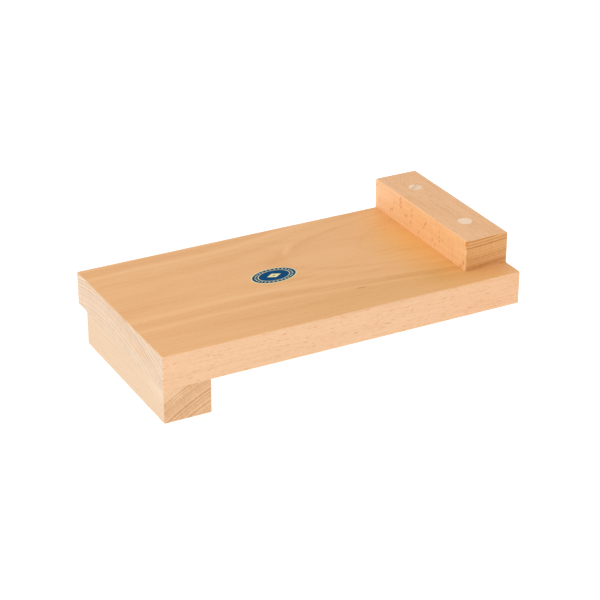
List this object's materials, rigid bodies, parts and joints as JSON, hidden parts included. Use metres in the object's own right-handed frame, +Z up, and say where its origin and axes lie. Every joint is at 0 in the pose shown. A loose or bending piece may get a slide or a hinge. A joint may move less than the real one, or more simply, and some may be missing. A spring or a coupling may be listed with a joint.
{
  "type": "bench hook",
  "caption": "Flat wooden board with a raised fence across one end and a lower hook cleat across the other, doweled and glued, for holding small work on a bench.",
  "frame": {"origin": "centre of the board's underside, the face that lies on the bench top", "axes": "+X along the board from the hook end to the fence end, +Z up from the bench top, +Y to the side that the fence is flush with"},
  "size_m": [0.25, 0.1316, 0.066],
  "materials": {
    "beech_board": "sanded flat-sawn beech, thin satin oil",
    "beech_fence": "sanded beech, thin satin oil",
    "beech_hook": "sanded beech, thin satin oil",
    "dowel_wood": "pale end grain, sanded flush",
    "printed_label": "satin blue film with a pale gold rim"
  },
  "bodies": {
    "root": {"base_board": "beech_board", "fence": "beech_fence", "hook_cleat": "beech_hook", "fence_dowel_near": "dowel_wood", "fence_dowel_far": "dowel_wood", "hook_dowel_near": "dowel_wood", "hook_dowel_far": "dowel_wood", "label": "printed_label"}
  },
  "joints": []
}
